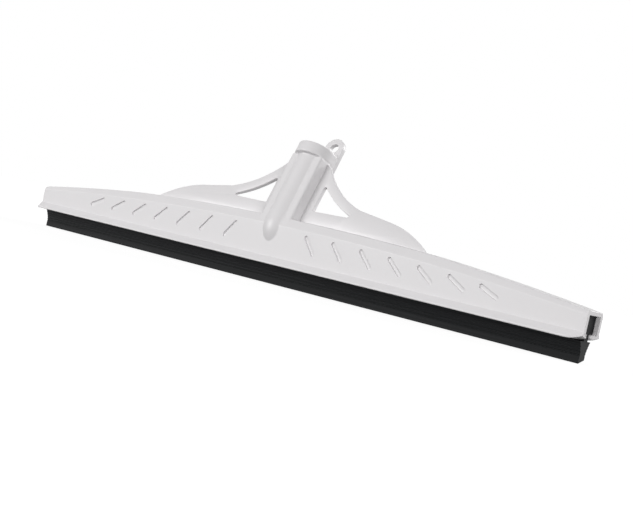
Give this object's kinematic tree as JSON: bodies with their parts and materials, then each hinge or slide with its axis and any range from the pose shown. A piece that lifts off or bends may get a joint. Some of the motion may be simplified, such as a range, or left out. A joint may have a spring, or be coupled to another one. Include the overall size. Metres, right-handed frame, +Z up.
{
  "type": "floor squeegee",
  "caption": "Floor squeegee head with an arched frame, windowed webs, a leaning handle socket, a hanging tab and a rubber blade that slides out of one end.",
  "frame": {"origin": "centre of the slanted face of the rubber blade that wipes the floor", "axes": "+X along the blade towards the open end where it slides out, +Z up from the floor, -Y towards the front and +Y towards the person who holds the handle"},
  "size_m": [0.55, 0.0668, 0.1253],
  "materials": {
    "moulding": "satin, moulded",
    "blade": "matte, extruded"
  },
  "bodies": {
    "frame": {"front_wall": "moulding", "rear_wall": "moulding", "crest_left": "moulding", "crest_right": "moulding", "web_left": "moulding", "web_right": "moulding", "handle_socket": "moulding", "hanging_tab": "moulding"},
    "blade": {"wiper_blade": "blade"}
  },
  "joints": [
    {"name": "blade_slide", "type": "slide", "parent": "frame", "child": "blade", "axis": [1, 0, 0], "range_m": [0, 0.56]}
  ]
}
